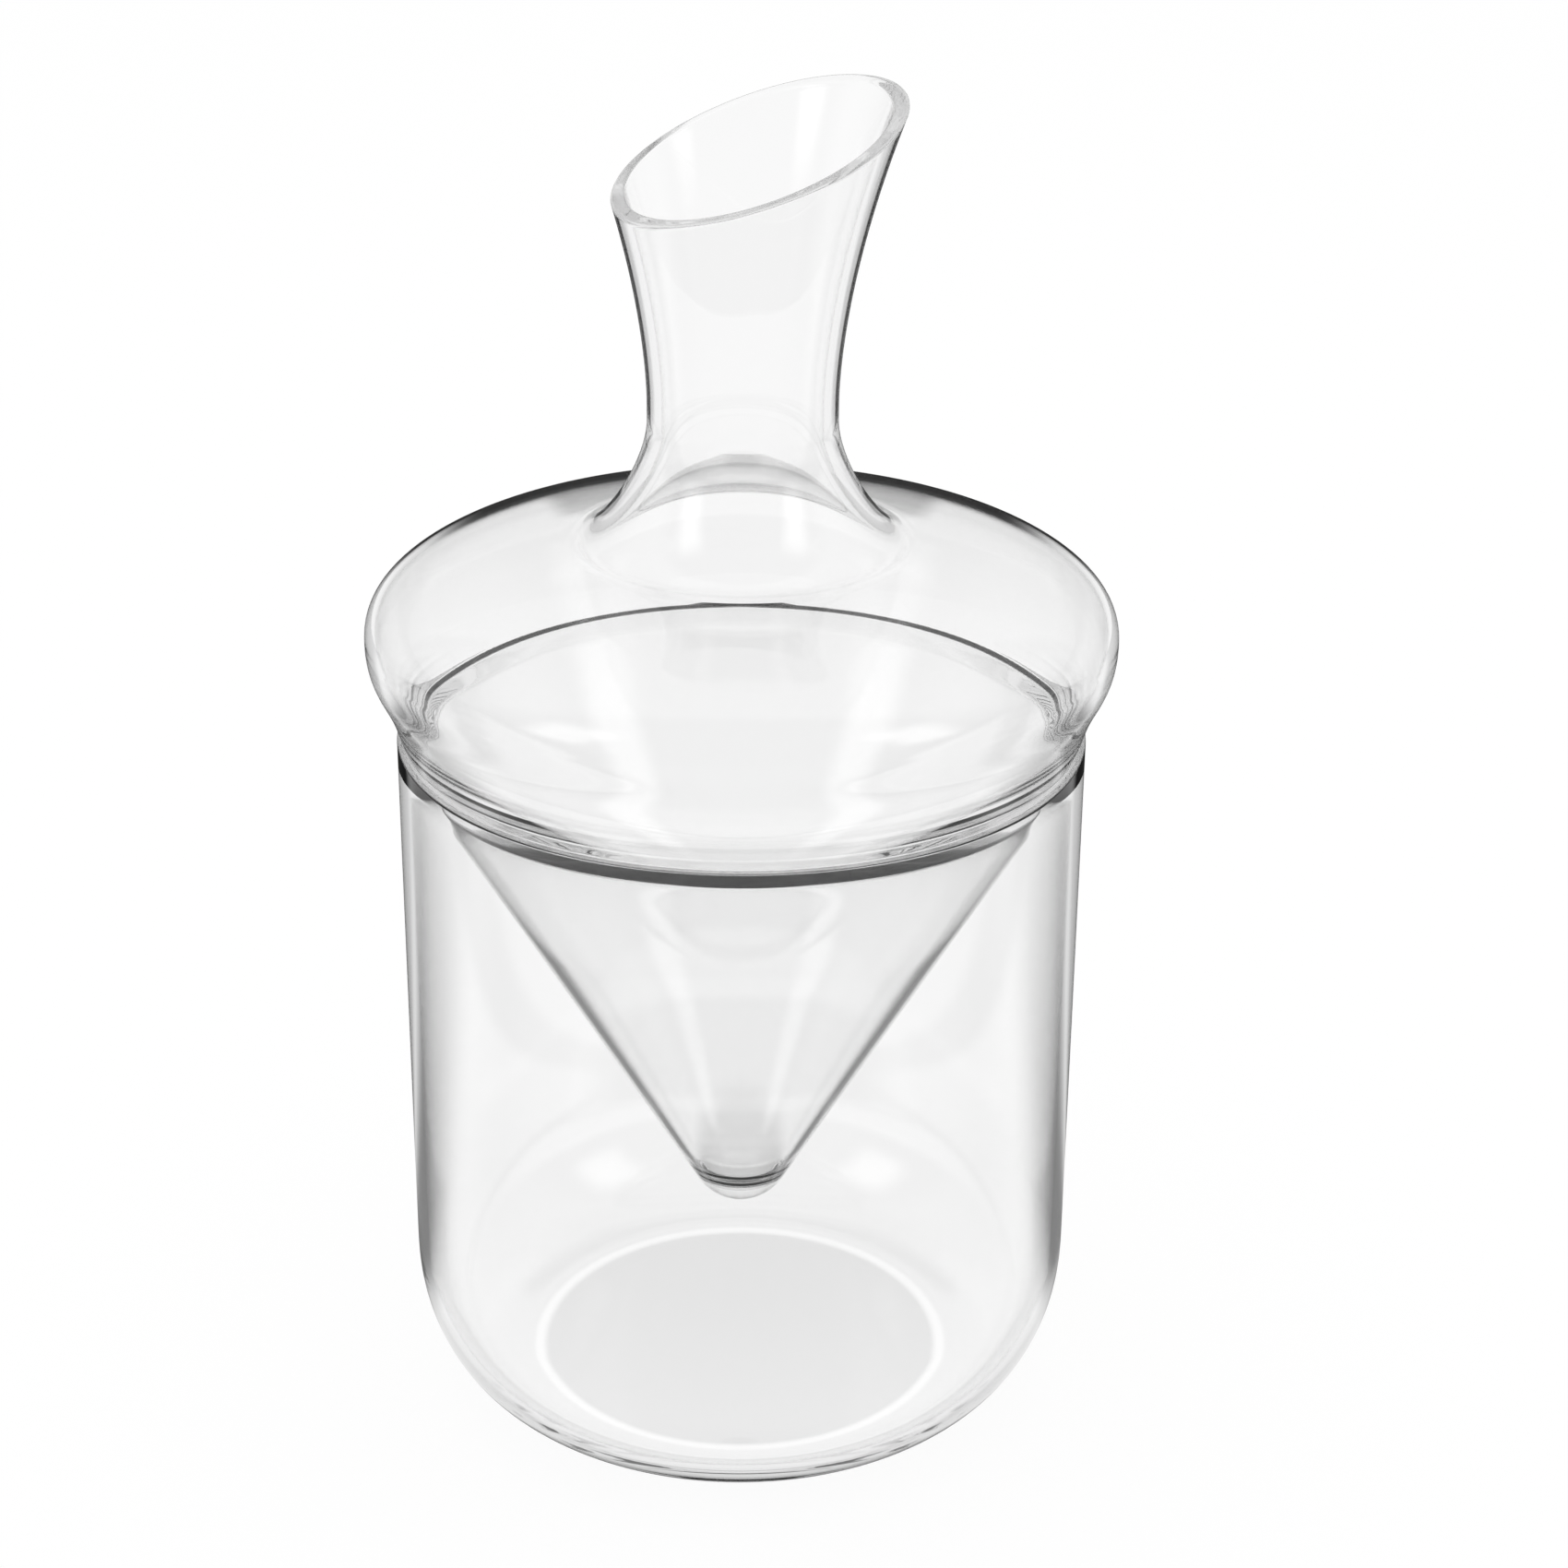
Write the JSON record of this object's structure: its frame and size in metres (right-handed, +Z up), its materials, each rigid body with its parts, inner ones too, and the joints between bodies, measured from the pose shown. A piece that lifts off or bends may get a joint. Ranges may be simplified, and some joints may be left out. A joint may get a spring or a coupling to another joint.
{
  "type": "wine carafe",
  "caption": "Clear glass wine carafe with a slanted mouth and a pointed belly, hanging by a ledge in a straight glass vessel that holds ice to chill the wine.",
  "frame": {"origin": "centre of the vessel's flat foot, on the common axis, at the surface that the object stands on", "axes": "+Z up along the common axis, +X towards the high side of the slanted mouth"},
  "size_m": [0.1512, 0.1512, 0.2781],
  "materials": {
    "carafe_glass": "clear blown glass, fire polished, with a ground and polished slanted lip",
    "vessel_glass": "clear blown glass, fire-polished rim"
  },
  "bodies": {
    "vessel": {"ice_vessel": "vessel_glass"},
    "carafe": {"carafe": "carafe_glass"}
  },
  "joints": [
    {"name": "carafe_lift", "type": "slide", "parent": "vessel", "child": "carafe", "axis": [0, 0, 1], "range_m": [0, 0.12]}
  ]
}
